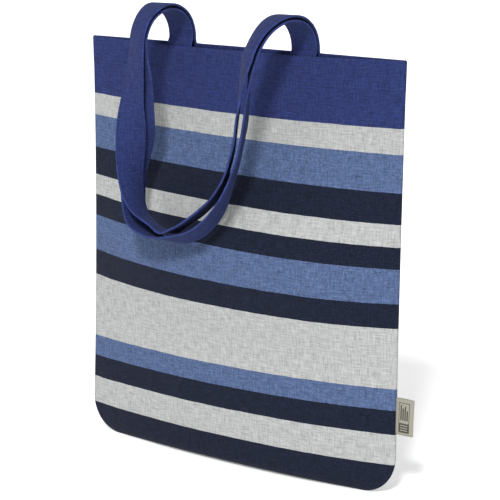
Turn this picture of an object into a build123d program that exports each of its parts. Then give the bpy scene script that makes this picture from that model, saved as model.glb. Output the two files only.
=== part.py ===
from build123d import *
import math
import os

# Striped cotton tote bag with two strap handles that hang over its front, in millimetres.
# +Z is up, X runs along the width, the front faces -Y and the origin is the middle of the base.

# Bag body
WIDTH = 380.0
HEIGHT = 420.0
CORNER_RADIUS = 38.0
CLOTH = 1.0                 # thickness of the woven cloth
SEAM_WALL = 2.5             # cloth left at the side seams, where the two panels meet
BASE_BULGE = 22.0           # half depth of the flattened base, at the middle of the width
BELLY_BULGE = 40.0          # half depth at the fullest place
BELLY_LEVEL = 215.0         # height of the fullest place
MOUTH_BULGE = 10.0          # half gap of the open mouth

# Hem and seam allowances
HEM_DEPTH = 28.0
ALLOWANCE_WIDTH = 11.0
ALLOWANCE_THICKNESS = 1.4
THREAD = 0.6
STITCH_INSET = 2.0          # from the hem's lower edge up to its stitch line

# Handles
STRAP_WIDTH = 30.0
STRAP_THICKNESS = 2.2
HANDLE_SPACING = 150.0      # between the middles of a handle's two ends
HANDLE_GAP = 6.0            # between the middles of the front and back straps
SEWN_LENGTH = 24.0          # how far each end reaches down behind the hem
FRONT_ARCH_RADIUS = 30.0
ARCH_RISE = 4.0             # straight strap between the rim and the arch
BENDS = 4                   # hinges that share an arch's half turn
FRONT_DROP = 187.0          # from the arch's lower end to the bottom of the hanging U
BACK_DROP = 171.0
PANEL_CLEARANCE = 4.0       # from the fullest place of the front to the edge of the U

# Side label
LABEL_WIDTH = 19.0
LABEL_HEIGHT = 36.0
LABEL_THICKNESS = 0.8
LABEL_LEVEL = 64.0
LABEL_CLEARANCE = 0.8       # from the side seam to the label's fold

HALF_WIDTH = WIDTH / 2
HEM_EDGE = HEIGHT - HEM_DEPTH
ARCH_CENTRE_Z = HEIGHT + ARCH_RISE
ARCH_CENTRE_Y = -HANDLE_GAP / 2 - FRONT_ARCH_RADIUS
BACK_ARCH_RADIUS = FRONT_ARCH_RADIUS + HANDLE_GAP
LOOP_Y = -(BELLY_BULGE + PANEL_CLEARANCE + STRAP_WIDTH / 2)
BEND_ANGLE = 180.0 / BENDS
LAST_HINGE = 180.0 - BEND_ANGLE / 2


def lens(half_width, bulge, level):
    """A horizontal section of the bag: two arcs that meet at the side seams."""
    left, right = (-half_width, 0, level), (half_width, 0, level)
    front = ThreePointArc(left, (0, -bulge, level), right)
    back = ThreePointArc(right, (0, bulge, level), left)
    return Face(Wire([front, back]))


def bag_volume(inset, bottom):
    """The space inside the bag's skin, drawn in by inset and standing on the level bottom."""
    levels = [
        (0.0, BASE_BULGE),
        (0.16 * BELLY_LEVEL, BASE_BULGE + 0.25 * (BELLY_BULGE - BASE_BULGE)),
        (0.60 * BELLY_LEVEL, BASE_BULGE + 0.66 * (BELLY_BULGE - BASE_BULGE)),
        (BELLY_LEVEL, BELLY_BULGE),
        (BELLY_LEVEL + 0.45 * (HEIGHT - BELLY_LEVEL), MOUTH_BULGE + 0.50 * (BELLY_BULGE - MOUTH_BULGE)),
        (BELLY_LEVEL + 0.80 * (HEIGHT - BELLY_LEVEL), MOUTH_BULGE + 0.10 * (BELLY_BULGE - MOUTH_BULGE)),
        (HEIGHT, MOUTH_BULGE),
    ]
    edge = SEAM_WALL * inset / CLOTH
    volume = loft([lens(HALF_WIDTH - edge, bulge - inset, level) for level, bulge in levels])
    middle, radius = -HALF_WIDTH + CORNER_RADIUS, CORNER_RADIUS - edge
    corner = block((-WIDTH, -WIDTH, -HEIGHT), (middle, WIDTH, bottom + radius))
    round_edge = Pos(middle, 0, bottom + radius) * Rot(90, 0, 0) * Cylinder(radius, 3 * WIDTH)
    left = volume & block((-WIDTH, -WIDTH, bottom), (0, WIDTH, 2 * HEIGHT))
    left = left - (corner - round_edge)
    return left + mirror(left, about=Plane.YZ)


def block(low, high):
    """A box from its lowest to its highest corner."""
    size = [b - a for a, b in zip(low, high)]
    middle = [(a + b) / 2 for a, b in zip(low, high)]
    return Pos(*middle) * Box(*size)


def half_space(side):
    """A box that holds the front (-1) or the back (+1) half of the bag."""
    depth = 3 * BELLY_BULGE
    near, far = sorted((0.0, side * depth))
    return block((-WIDTH, near, -HEIGHT), (WIDTH, far, 2 * HEIGHT))


def make_bag():
    """The two panels, their turned-in hems, the seam allowances and the hem's stitching."""
    outside = bag_volume(0.0, 0.0)
    inside = bag_volume(CLOTH, CLOTH)
    shell = outside - inside
    hem_band = block((-WIDTH, -WIDTH, HEM_EDGE), (WIDTH, WIDTH, HEIGHT + 1))
    hem = (inside & hem_band) - bag_volume(2 * CLOTH, 2 * CLOTH)
    stitch_level = HEM_EDGE + STITCH_INSET
    stitch_band = block((-WIDTH, -WIDTH, stitch_level), (WIDTH, WIDTH, stitch_level + THREAD))
    thread_ring = (bag_volume(-THREAD / 2, 0.0) & stitch_band) - outside

    side_reach = HALF_WIDTH - SEAM_WALL - ALLOWANCE_WIDTH
    side_foot = CORNER_RADIUS + ALLOWANCE_WIDTH
    half = ALLOWANCE_THICKNESS / 2
    right_strip = block((side_reach, -half, side_foot), (WIDTH, half, HEM_EDGE))
    left_strip = block((-WIDTH, -half, side_foot), (-side_reach, half, HEM_EDGE))
    floor_end = HALF_WIDTH - CORNER_RADIUS
    floor_strip = block((-floor_end, -half, 0), (floor_end, half, CLOTH + ALLOWANCE_WIDTH))
    return {
        "front_panel": shell & half_space(-1),
        "back_panel": shell & half_space(1),
        "front_hem": hem & half_space(-1),
        "back_hem": hem & half_space(1),
        "left_seam_allowance": inside & left_strip,
        "right_seam_allowance": inside & right_strip,
        "bottom_seam_allowance": inside & floor_strip,
        "hem_stitching": thread_ring,
    }


def arch_point(radius, angle):
    """The y and z of a point on an arch, angle degrees on from the upright strap behind the rim."""
    turn = math.radians(angle)
    return ARCH_CENTRE_Y + radius * math.cos(turn), ARCH_CENTRE_Z + radius * math.sin(turn)


def arch_piece(radius, start, end):
    """A stretch of strap along the arch, as wide as the strap and centred on x = 0."""
    inner, outer = radius - STRAP_THICKNESS / 2, radius + STRAP_THICKNESS / 2
    middle = (start + end) / 2
    corners = [(0, *arch_point(r, a)) for r, a in ((inner, start), (outer, start), (outer, end), (inner, end))]
    edges = [
        Line(corners[0], corners[1]),
        ThreePointArc(corners[1], (0, *arch_point(outer, middle)), corners[2]),
        Line(corners[2], corners[3]),
        ThreePointArc(corners[3], (0, *arch_point(inner, middle)), corners[0]),
    ]
    return extrude(Face(Wire(edges)), amount=STRAP_WIDTH / 2, both=True, dir=(1, 0, 0))


def both_ends(piece):
    """The same piece at a handle's left and right ends, as two solids."""
    offset = HANDLE_SPACING / 2
    return Compound(children=[*(Pos(-offset, 0, 0) * piece).solids(), *(Pos(offset, 0, 0) * piece).solids()])


def strap_section(path, at, turn):
    """A strap's cross-section at a place on its path, its width turned from +X by turn degrees."""
    along = path % at
    across = Vector(math.cos(math.radians(turn)), math.sin(math.radians(turn)), 0)
    across = across - along * across.dot(along)
    plane = Plane(origin=path @ at, x_dir=across, z_dir=along)
    return plane * Rectangle(STRAP_WIDTH, STRAP_THICKNESS)


def loop_strap(radius, drop, route):
    """The hanging loop of a handle, from its left arch round the U to its right arch.

    Each place on the route is given as shares and one angle: how far across in half handle
    spacings, how far the strap has moved from the arch's depth to the depth of the U's bottom,
    how far down in drops, and the turn of the strap's width from +X in degrees.
    """
    side = HANDLE_SPACING / 2
    y_start, z_start = arch_point(radius, LAST_HINGE)
    y_end, z_end = arch_point(radius, 180.0)
    points = [(-side, y_start, z_start)]
    for across, lean, down, _ in route:
        points.append((across * side, y_end + lean * (LOOP_Y - y_end), z_end - down * drop))
    points.append((side, y_start, z_start))
    turns = [0.0, *(turn for *_, turn in route), 180.0]
    angle = math.radians(LAST_HINGE)
    leaving = Vector(0, -math.sin(angle), math.cos(angle))
    path = Spline(*points, tangents=[leaving, -leaving])
    places = [path.param_at_point(Vector(*point)) for point in points]
    sections = []
    for first, second, turn_a, turn_b in zip(places, places[1:], turns, turns[1:]):
        for share in (0.0, 0.5):
            at = first + share * (second - first)
            sections.append(strap_section(path, at, turn_a + share * (turn_b - turn_a)))
    sections.append(strap_section(path, 1.0, turns[-1]))
    return loft(sections, ruled=True)


# Across, lean, down and turn, as loop_strap says.
FRONT_ROUTE = [
    (-1.05, 0.00, 0.14, -8),
    (-1.12, -0.25, 0.33, 8),
    (-1.21, -0.25, 0.57, 36),
    (-1.20, 0.00, 0.77, 60),
    (-1.09, 1.00, 0.92, 80),
    (-0.76, 1.00, 0.97, 90),
    (-0.33, 1.00, 1.00, 90),
    (-0.09, 1.00, 0.99, 90),
    (0.09, 1.00, 0.94, 90),
    (0.31, 1.00, 0.82, 92),
    (0.39, 0.75, 0.71, 98),
    (0.49, 0.50, 0.49, 114),
    (0.68, 0.00, 0.28, 128),
    (0.87, 0.00, 0.11, 150),
]
BACK_ROUTE = [
    (-1.07, 0.00, 0.15, -8),
    (-1.12, -0.10, 0.36, 6),
    (-1.17, 0.00, 0.62, 36),
    (-1.12, 0.50, 0.81, 60),
    (-0.97, 1.00, 0.95, 80),
    (-0.75, 1.00, 1.00, 90),
    (-0.53, 1.00, 0.92, 90),
    (0.07, 1.00, 0.70, 94),
    (0.25, 0.90, 0.55, 106),
    (0.61, 0.10, 0.30, 126),
    (0.83, 0.00, 0.13, 148),
]


def make_handle(name, strap_y, radius, drop, route):
    """One handle: its sewn ends, the links that unroll its arch, and the hanging loop."""
    half = STRAP_THICKNESS / 2
    foot = HEIGHT - SEWN_LENGTH
    sewn = block((-STRAP_WIDTH / 2, strap_y - half, foot), (STRAP_WIDTH / 2, strap_y + half, ARCH_CENTRE_Z))
    pieces = {f"{name}_handle_ends": both_ends(sewn + arch_piece(radius, 0, BEND_ANGLE / 2))}
    for link in range(1, BENDS):
        start = (link - 0.5) * BEND_ANGLE
        pieces[f"{name}_handle_link_{link}"] = both_ends(arch_piece(radius, start, start + BEND_ANGLE))
    pieces[f"{name}_handle_loop"] = loop_strap(radius, drop, route)
    return pieces


def make_end_stitching():
    """Box stitching that holds the four strap ends, standing a little proud of the straps."""
    rows = []
    for strap_y, side in ((-HANDLE_GAP / 2, 1), (HANDLE_GAP / 2, -1)):
        face = strap_y + side * STRAP_THICKNESS / 2
        near, far = sorted((face, face + side * THREAD))
        reach = STRAP_WIDTH / 2 - STITCH_INSET
        for level in (HEIGHT - SEWN_LENGTH + STITCH_INSET, HEIGHT - STITCH_INSET - THREAD):
            row = block((-reach, near, level), (reach, far, level + THREAD))
            for end in (-1, 1):
                rows += (Pos(end * HANDLE_SPACING / 2, 0, 0) * row).solids()
    return Compound(children=rows)


def make_label():
    """The folded tape label caught in the right side seam."""
    start = HALF_WIDTH + LABEL_CLEARANCE
    half = LABEL_THICKNESS / 2
    return block((start, -half, LABEL_LEVEL), (start + LABEL_WIDTH, half, LABEL_LEVEL + LABEL_HEIGHT))


pieces = make_bag()
pieces.update(make_handle("front", -HANDLE_GAP / 2, FRONT_ARCH_RADIUS, FRONT_DROP, FRONT_ROUTE))
pieces.update(make_handle("back", HANDLE_GAP / 2, BACK_ARCH_RADIUS, BACK_DROP, BACK_ROUTE))
pieces["handle_end_stitching"] = make_end_stitching()
pieces["side_label"] = make_label()

os.makedirs("parts", exist_ok=True)
for node, shape in pieces.items():
    export_step(shape, f"parts/{node}.step")
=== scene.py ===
import logging
import math
from dataclasses import dataclass, field
from enum import Enum
from typing import Callable, Iterable, Optional, Sequence, Union

import bmesh
import bpy
from mathutils import Matrix, Vector, noise


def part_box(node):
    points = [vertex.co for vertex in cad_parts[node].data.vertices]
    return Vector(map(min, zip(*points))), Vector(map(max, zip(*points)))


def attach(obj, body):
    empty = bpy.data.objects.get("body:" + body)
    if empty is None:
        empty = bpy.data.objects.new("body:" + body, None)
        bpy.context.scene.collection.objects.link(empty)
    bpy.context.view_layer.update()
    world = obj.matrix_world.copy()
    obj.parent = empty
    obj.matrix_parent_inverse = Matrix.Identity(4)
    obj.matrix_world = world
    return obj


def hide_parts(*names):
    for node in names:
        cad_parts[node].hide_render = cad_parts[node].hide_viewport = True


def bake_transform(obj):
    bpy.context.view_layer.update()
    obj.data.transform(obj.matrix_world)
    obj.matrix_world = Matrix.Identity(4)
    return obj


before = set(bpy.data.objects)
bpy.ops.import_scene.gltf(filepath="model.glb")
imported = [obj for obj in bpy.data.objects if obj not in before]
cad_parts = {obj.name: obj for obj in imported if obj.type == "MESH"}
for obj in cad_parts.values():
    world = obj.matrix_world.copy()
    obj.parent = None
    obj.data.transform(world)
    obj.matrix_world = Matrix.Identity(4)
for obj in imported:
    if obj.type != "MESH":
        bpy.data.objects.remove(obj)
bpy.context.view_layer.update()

MM = 0.001
UV_NAME = "cloth"
MAP_FOOT = 0.03
PALE_FIBRE = (0.62, 0.64, 0.66)
FRONT = -1
BACK = 1
log = logging.getLogger("tote_bag")
Number = Union[float, "Value"]
Colour = tuple[float, float, float]


# ---------------------------------------------------------------- shader layer


class Value:
    """A socket that varies over a surface, so that shader maths reads as plain Python."""

    def __init__(self, shader: "Shader", socket: bpy.types.NodeSocket) -> None:
        """Keeps the shader that the socket belongs to, and the socket."""
        self.shader = shader
        self.socket = socket

    def __add__(self, other: Number) -> "Value":
        """This value plus another."""
        return self.shader.math("ADD", self, other)

    __radd__ = __add__

    def __mul__(self, other: Number) -> "Value":
        """This value times another."""
        return self.shader.math("MULTIPLY", self, other)

    __rmul__ = __mul__

    def __sub__(self, other: Number) -> "Value":
        """This value less another."""
        return self.shader.math("SUBTRACT", self, other)

    def __rsub__(self, other: Number) -> "Value":
        """A number less this value."""
        return self.shader.math("SUBTRACT", other, self)

    def __truediv__(self, other: Number) -> "Value":
        """This value over another."""
        return self.shader.math("DIVIDE", self, other)

    def __gt__(self, other: Number) -> "Value":
        """1 where this value is the larger, else 0."""
        return self.shader.math("GREATER_THAN", self, other)

    def __lt__(self, other: Number) -> "Value":
        """1 where this value is the smaller, else 0."""
        return self.shader.math("LESS_THAN", self, other)

    def size(self) -> "Value":
        """This value without its sign."""
        return self.shader.math("ABSOLUTE", self)

    def sine(self) -> "Value":
        """The sine of this value, in radians."""
        return self.shader.math("SINE", self)

    def ramp(self, low: float, high: float) -> "Value":
        """This value as 0 below low and 1 above high, straight in between.

        Args:
            low: The value that gives 0.
            high: The value that gives 1.

        Returns:
            The clamped share.
        """
        node = self.shader.node("ShaderNodeMapRange", {"clamp": True},
                                {"Value": self, "From Min": low, "From Max": high})
        return Value(self.shader, node.outputs["Result"])


class Shader:
    """One material's node tree round a Principled shader."""

    def __init__(self, name: str, roughness: float, sheen: float = 0.0) -> None:
        """Makes the material.

        Args:
            name: The material's name.
            roughness: The surface's roughness where nothing drives it.
            sheen: The weight of the soft sheen that fibres give.
        """
        self.material = bpy.data.materials.new(name)
        self.material.use_nodes = True
        self.tree = self.material.node_tree
        self.surface = self.tree.nodes["Principled BSDF"]
        self.surface.inputs["Roughness"].default_value = roughness
        self.surface.inputs["Sheen Weight"].default_value = sheen
        self.surface.inputs["Sheen Roughness"].default_value = 0.5
        self.surface.inputs["Specular IOR Level"].default_value = 0.15

    def node(self, kind: str, settings: Optional[dict] = None,
             sockets: Optional[dict] = None) -> bpy.types.Node:
        """Adds any node.

        Args:
            kind: The node's type name.
            settings: The node's own settings, set first. "stops" fills a ramp with (place, colour) pairs.
            sockets: A value, Value or socket for each input, by name or number.

        Returns:
            The node.
        """
        made = self.tree.nodes.new(kind)
        for name, value in (settings or {}).items():
            if name == "stops":
                self._fill_ramp(made.color_ramp, value)
            else:
                setattr(made, name, value)
        for name, value in (sockets or {}).items():
            self.feed(made.inputs[name], value)
        return made

    def _fill_ramp(self, ramp: bpy.types.ColorRamp, stops: Sequence[tuple[float, Colour]]) -> None:
        """Fills a ramp that changes colour in steps.

        Args:
            ramp: The node's ramp.
            stops: The place and colour of each step, in order.
        """
        ramp.interpolation = "CONSTANT"
        while len(ramp.elements) < len(stops):
            ramp.elements.new(1.0)
        for element, (place, colour) in zip(ramp.elements, stops):
            element.position = place
            element.color = (*colour, 1.0)

    def feed(self, socket: bpy.types.NodeSocket, value: object) -> None:
        """Links a Value or socket to an input, or sets a plain value on it."""
        if isinstance(value, Value):
            value = value.socket
        if isinstance(value, bpy.types.NodeSocket):
            self.tree.links.new(value, socket)
        elif socket.type == "RGBA" and len(value) == 3:
            socket.default_value = (*value, 1.0)
        else:
            socket.default_value = value

    def math(self, operation: str, *values: Number) -> Value:
        """One Math node on the values."""
        node = self.node("ShaderNodeMath", {"operation": operation}, dict(enumerate(values)))
        return Value(self, node.outputs[0])

    def mix(self, share: Number, first: object, second: object) -> bpy.types.NodeSocket:
        """Mixes two colours.

        Args:
            share: How much of the second colour shows.
            first: The first colour.
            second: The second colour.

        Returns:
            The mixed colour's socket.
        """
        node = self.node("ShaderNodeMix", {"data_type": "RGBA"}, {0: share, 6: first, 7: second})
        return node.outputs[2]

    def scaled(self, colour: object, factor: Number) -> bpy.types.NodeSocket:
        """A colour made lighter or darker by a factor."""
        node = self.node("ShaderNodeVectorMath", {"operation": "SCALE"}, {0: colour, "Scale": factor})
        return node.outputs[0]

    def axes(self, source: str = "cloth") -> list[Value]:
        """The axes of the piece's own cloth map, or of Object coordinates, in metres.

        Args:
            source: "cloth" for the map, or "object".

        Returns:
            The x, y and z values.
        """
        if source == "cloth":
            place = self.node("ShaderNodeUVMap", {"uv_map": UV_NAME}).outputs[0]
        else:
            place = self.node("ShaderNodeTexCoord").outputs["Object"]
        parts = self.node("ShaderNodeSeparateXYZ", None, {0: place})
        return [Value(self, socket) for socket in parts.outputs]

    def grain(self, x: Number, y: Number, detail: float = 1.0, offset: float = 0.0) -> Value:
        """Smooth noise from 0 to 1 at a place, one cell to a unit.

        Args:
            x: The place across, in cells.
            y: The place along, in cells.
            detail: How many finer layers are added.
            offset: Which slice of the noise is taken.

        Returns:
            The noise.
        """
        place = self.node("ShaderNodeCombineXYZ", None, {0: x, 1: y, 2: offset})
        node = self.node("ShaderNodeTexNoise", {"noise_dimensions": "3D"},
                         {"Vector": place.outputs[0], "Scale": 1.0, "Detail": detail, "Roughness": 0.6})
        return Value(self, node.outputs[0])

    def finish(self, colour: object, height: Optional[Value] = None, depth: float = 0.0,
               roughness: Optional[Value] = None) -> bpy.types.Material:
        """Feeds the surface and gives the material.

        Args:
            colour: The surface's colour.
            height: The relief, from 0 to 1, or None for a smooth surface.
            depth: The relief's real depth in metres.
            roughness: The varying roughness, or None.

        Returns:
            The finished material.
        """
        self.feed(self.surface.inputs["Base Color"], colour)
        if roughness is not None:
            self.feed(self.surface.inputs["Roughness"], roughness)
        if height is not None:
            bump = self.node("ShaderNodeBump", None, {"Height": height, "Distance": depth, "Strength": 1.0})
            self.feed(self.surface.inputs["Normal"], bump.outputs[0])
        return self.material


# ---------------------------------------------------------------- finishes


@dataclass(frozen=True)
class Yarn:
    """A dyed yarn: its colour, and how strongly its pale fibres and uneven thickness show."""

    colour: Colour
    fleck: float
    slub: float


class Dye(Enum):
    """The yarns that the bag is woven from."""

    INDIGO = Yarn((0.0155, 0.025, 0.100), 0.022, 0.46)
    PALE = Yarn((0.322, 0.329, 0.324), 0.14, 0.32)
    MID_BLUE = Yarn((0.056, 0.088, 0.182), 0.09, 0.48)
    NAVY = Yarn((0.0050, 0.0080, 0.0205), 0.010, 0.60)


@dataclass(frozen=True)
class Weave:
    """A plain weave of slubby cotton yarn, drawn in the cloth's own coordinates."""

    pitch: float = 0.85 * MM
    slub_width: float = 1.5 * MM
    slub_length: float = 12.0 * MM
    relief: float = 0.20 * MM
    contrast: float = 2.7
    fleck_start: float = 0.58
    fleck_full: float = 0.70

    def lay(self, shader: Shader, x: Value, y: Value) -> tuple[Value, Value, Value]:
        """Adds the weave's nodes.

        Args:
            shader: The material.
            x: The place across the cloth in metres.
            y: The place along the cloth in metres.

        Returns:
            The relief, the yarns' lightness about 0, and the share of pale flecks.
        """
        over = (x * (math.pi / self.pitch)).sine() * (y * (math.pi / self.pitch)).sine()
        weft = shader.grain(x / self.slub_length, y / self.slub_width, 2.0)
        warp = shader.grain(x / self.slub_width, y / self.slub_length, 2.0, 7.0)
        cloud = shader.grain(x / (9 * MM), y / (7 * MM), 1.0, 3.0)
        lightness = (weft + warp - 1.0) * self.contrast + (cloud - 0.5) * 0.45
        fleck = shader.grain(x / (2.8 * MM), y / (1.1 * MM), 1.0, 11.0)
        fleck_tall = shader.grain(x / (1.1 * MM), y / (3.2 * MM), 1.0, 15.0)
        flecks = shader.math("MAXIMUM", fleck, fleck_tall).ramp(self.fleck_start, self.fleck_full)
        relief = over * over * 0.55 + (weft + warp) * 0.45
        return relief, lightness, flecks


@dataclass(frozen=True)
class Finish:
    """What every finish has: its name and how dull and how soft it looks."""

    name: str
    roughness: float = 0.9
    sheen: float = 0.02


@dataclass(frozen=True)
class StripedCotton(Finish):
    """Yarn-dyed canvas whose stripes run across the bag."""

    stripes: tuple[tuple[float, Dye], ...] = ()
    weave: Weave = Weave()
    map_height: float = 500 * MM
    edge_wander: float = 0.9 * MM

    def make(self) -> bpy.types.Material:
        """The canvas as a material."""
        shader = Shader(self.name, self.roughness, self.sheen)
        x, y, _ = shader.axes()
        relief, lightness, flecks = self.weave.lay(shader, x, y)
        wander = (shader.grain(x / (16 * MM), y / (60 * MM), 2.0, 21.0) - 0.5) * self.edge_wander
        place = (y + wander) / self.map_height
        dyes = [(level / self.map_height, dye.value) for level, dye in self.stripes]
        colour = shader.node(
            "ShaderNodeValToRGB",
            {"stops": [(at, yarn.colour) for at, yarn in dyes]},
            {0: place},
        )
        habits = shader.node(
            "ShaderNodeValToRGB",
            {"stops": [(at, (yarn.fleck, yarn.slub, 0.0)) for at, yarn in dyes]},
            {0: place},
        )
        habit = shader.node("ShaderNodeSeparateColor", None, {0: habits.outputs[0]})
        fleck, slub = (Value(shader, socket) for socket in habit.outputs[:2])
        shaded = shader.scaled(colour.outputs[0], lightness * slub + 1.0)
        paint = shader.mix(flecks * fleck, shaded, PALE_FIBRE)
        return shader.finish(paint, relief, self.weave.relief)


@dataclass(frozen=True)
class PlainCotton(Finish):
    """Canvas of one dye, with paler edges where the cloth is folded over, and painted shade along the grooves
    of its edge stitching.
    """

    dye: Dye = Dye.INDIGO
    weave: Weave = Weave()
    width: float = 0.0
    fold_wear: float = 0.0

    def make(self) -> bpy.types.Material:
        """The canvas as a material."""
        shader = Shader(self.name, self.roughness, self.sheen)
        x, y, _ = shader.axes()
        relief, lightness, flecks = self.weave.lay(shader, x, y)
        yarn = self.dye.value
        lightness = lightness * yarn.slub + 1.0
        if self.width:
            out = (x - self.width / 2).size()
            worn = out.ramp(self.width / 2 - 1.1 * MM, self.width / 2 - 0.3 * MM)
            # painted shade: the seam mask darkens the canvas along the grooves of the edge stitching
            seam = (out - (self.width / 2 - 2.4 * MM)).size().ramp(0.2 * MM, 0.9 * MM)
            lightness = lightness * (worn * self.fold_wear + 1.0) * (seam * 0.16 + 0.84)
        paint = shader.mix(flecks * yarn.fleck, shader.scaled(yarn.colour, lightness), PALE_FIBRE)
        return shader.finish(paint, relief, self.weave.relief)


@dataclass(frozen=True)
class Thread(Finish):
    """Twisted sewing thread."""

    colour: Colour = (0.035, 0.05, 0.155)
    twist: float = 0.5 * MM

    def make(self) -> bpy.types.Material:
        """The thread as a material."""
        shader = Shader(self.name, self.roughness, self.sheen)
        x, y, z = shader.axes("object")
        twist = ((x + y + z) * (2 * math.pi / self.twist)).sine() * 0.5 + 0.5
        fibres = shader.grain((x + y) / (0.4 * MM), z / (0.4 * MM), 1.0)
        paint = shader.scaled(self.colour, twist * 0.25 + fibres * 0.4 + 0.75)
        return shader.finish(paint, twist, 0.05 * MM)


@dataclass(frozen=True)
class LabelTape(Finish):
    """Woven tape with a plain printed pattern: a border, four bars and a block with pale bands."""

    cloth: Colour = (0.250, 0.240, 0.200)
    ink: Colour = (0.060, 0.054, 0.045)
    width: float = 19 * MM
    height: float = 36 * MM
    line: float = 0.7 * MM
    bars: tuple[tuple[float, float, float], ...] = ((4.4, 15.0, 30.0), (6.8, 15.0, 27.0), (9.2, 15.0, 29.0),
                                                    (11.6, 15.0, 25.0))
    bar_width: float = 1.6 * MM
    block_height: float = 9.5 * MM
    block_bands: tuple[float, ...] = (4.6, 7.0, 9.4)
    band_width: float = 0.9 * MM
    band_margin: float = 2 * MM

    def make(self) -> bpy.types.Material:
        """The tape as a material."""
        shader = Shader(self.name, self.roughness, self.sheen)
        x, y, _ = shader.axes()
        rib = (y * (2 * math.pi / (0.55 * MM))).sine() * 0.5 + 0.5
        yarn = shader.grain(x / (0.5 * MM), y / (3 * MM), 2.0)
        marks = self._marks(shader, x, y)
        worn = shader.grain(x / (0.8 * MM), y / (0.8 * MM), 2.0, 5.0).ramp(0.15, 0.38)
        cloth = shader.scaled(self.cloth, yarn * 0.35 + rib * 0.12 + 0.78)
        paint = shader.mix(marks * worn, cloth, self.ink)
        return shader.finish(paint, rib * 0.6 + yarn * 0.4, 0.07 * MM)

    def _marks(self, shader: Shader, x: Value, y: Value) -> Value:
        """The printed pattern as a share of ink.

        Args:
            shader: The material.
            x: The place out from the seam in metres.
            y: The place up the label in metres.

        Returns:
            1 under ink and 0 on bare tape.
        """
        def inside(value: Value, low: float, high: float) -> Value:
            """1 between two limits, else 0."""
            return (value > low) * (value < high)

        low_x, high_x = 2.4 * MM, self.width - 4.2 * MM
        low_y, high_y = 2.6 * MM, self.height - 3.6 * MM
        frame_area = inside(x, low_x, high_x) * inside(y, low_y, high_y)
        core_x = inside(x, low_x + self.line, high_x - self.line)
        core_y = inside(y, low_y + self.line, high_y - self.line)
        ink = frame_area - core_x * core_y
        for place, start, end in self.bars:
            bar_x = inside(x, place * MM, place * MM + self.bar_width)
            bar = bar_x * inside(y, start * MM, end * MM)
            ink = shader.math("MAXIMUM", ink, bar)
        block = inside(x, low_x, high_x) * inside(y, low_y, low_y + self.block_height)
        ink = shader.math("MAXIMUM", ink, block)
        for place in self.block_bands:
            band_x = inside(x, low_x + self.band_margin, high_x - self.band_margin)
            band_y = inside(y, place * MM, place * MM + self.band_width)
            ink = ink * (1.0 - band_y * band_x)
        return ink


@dataclass(frozen=True)
class StudioFloor(Finish):
    """A plain pale floor, lit a little from below so that shadows on it stay faint."""

    colour: Colour = (0.97, 0.97, 0.97)
    glow: float = 0.22

    def make(self) -> bpy.types.Material:
        """The floor as a material."""
        shader = Shader(self.name, self.roughness)
        x, y, _ = shader.axes("object")
        cloud = shader.grain(x * 3.0, y * 3.0, 2.0)
        shader.surface.inputs["Emission Color"].default_value = (1.0, 1.0, 1.0, 1.0)
        shader.surface.inputs["Emission Strength"].default_value = self.glow
        return shader.finish(shader.scaled(self.colour, cloud * 0.01 + 0.995))


# ---------------------------------------------------------------- shape helpers


class SmoothCurve:
    """A smooth line through a few values, numbers or vectors, each at a place along it."""

    def __init__(self, points: Sequence[tuple[float, object]], ends: Optional[tuple] = None) -> None:
        """Works out the slope at each point.

        Args:
            points: The places, rising, and the value at each.
            ends: The slopes at both ends, or None for straight ends.
        """
        self.places = [place for place, _ in points]
        self.values = [value for _, value in points]
        steps = list(zip(points, points[1:]))
        rises = [(b[1] - a[1]) / (b[0] - a[0]) for a, b in steps]
        first, last = ends if ends else (rises[0], rises[-1])
        inner = []
        for before, after, (a, b), (_, c) in zip(rises, rises[1:], steps, steps[1:]):
            share = (b[0] - a[0]) / (c[0] - a[0])
            inner.append(before * (1 - share) + after * share)
        self.slopes = [first, *inner, last]

    def __call__(self, place: float) -> object:
        """The value at a place."""
        place = min(max(place, self.places[0]), self.places[-1])
        index = 0
        while index < len(self.places) - 2 and place > self.places[index + 1]:
            index += 1
        span = self.places[index + 1] - self.places[index]
        t = (place - self.places[index]) / span
        a, b = self.values[index], self.values[index + 1]
        slope_a, slope_b = self.slopes[index] * span, self.slopes[index + 1] * span
        return (a * (2 * t**3 - 3 * t**2 + 1) + slope_a * (t**3 - 2 * t**2 + t)
                + b * (3 * t**2 - 2 * t**3) + slope_b * (t**3 - t**2))


def ease(share: float) -> float:
    """A share from 0 to 1 with a soft start and end."""
    share = min(max(share, 0.0), 1.0)
    return share * share * (3 - 2 * share)


def square_to(along: Vector, way: Vector) -> Vector:
    """The direction nearest to a way that is square to another."""
    return (way - along * way.dot(along)).normalized()


def spaced(start: float, end: float, step: float) -> list[float]:
    """Even places from start to end, both included, about one step apart."""
    count = max(1, round(abs(end - start) / step))
    return [start + (end - start) * i / count for i in range(count + 1)]


def cloth_grid(columns: Sequence[object], rows: Sequence[object],
               place: Callable[[object, object], Vector],
               flat: Callable[[object, object], tuple[float, float]]) -> bmesh.types.BMesh:
    """A grid of cloth, moved to its shape, with the cloth's own map.

    Args:
        columns: What each column of the grid stands for.
        rows: What each row of the grid stands for.
        place: Gives the point of a column and a row.
        flat: Gives the place on the flat cloth of a column and a row.

    Returns:
        The mesh.
    """
    mesh = bmesh.new()
    bmesh.ops.create_grid(mesh, x_segments=len(columns) - 1, y_segments=len(rows) - 1, size=1.0)
    across, along = len(columns) - 1, len(rows) - 1
    cells = {}
    for vertex in mesh.verts:
        column = round((vertex.co.x + 1) / 2 * across)
        row = round((vertex.co.y + 1) / 2 * along)
        cells[vertex] = (columns[column], rows[row])
        vertex.co = place(*cells[vertex])
    layer = mesh.loops.layers.uv.new(UV_NAME)
    for face in mesh.faces:
        face.smooth = True
        for loop in face.loops:
            loop[layer].uv = flat(*cells[loop.vert])
    return mesh


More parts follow.
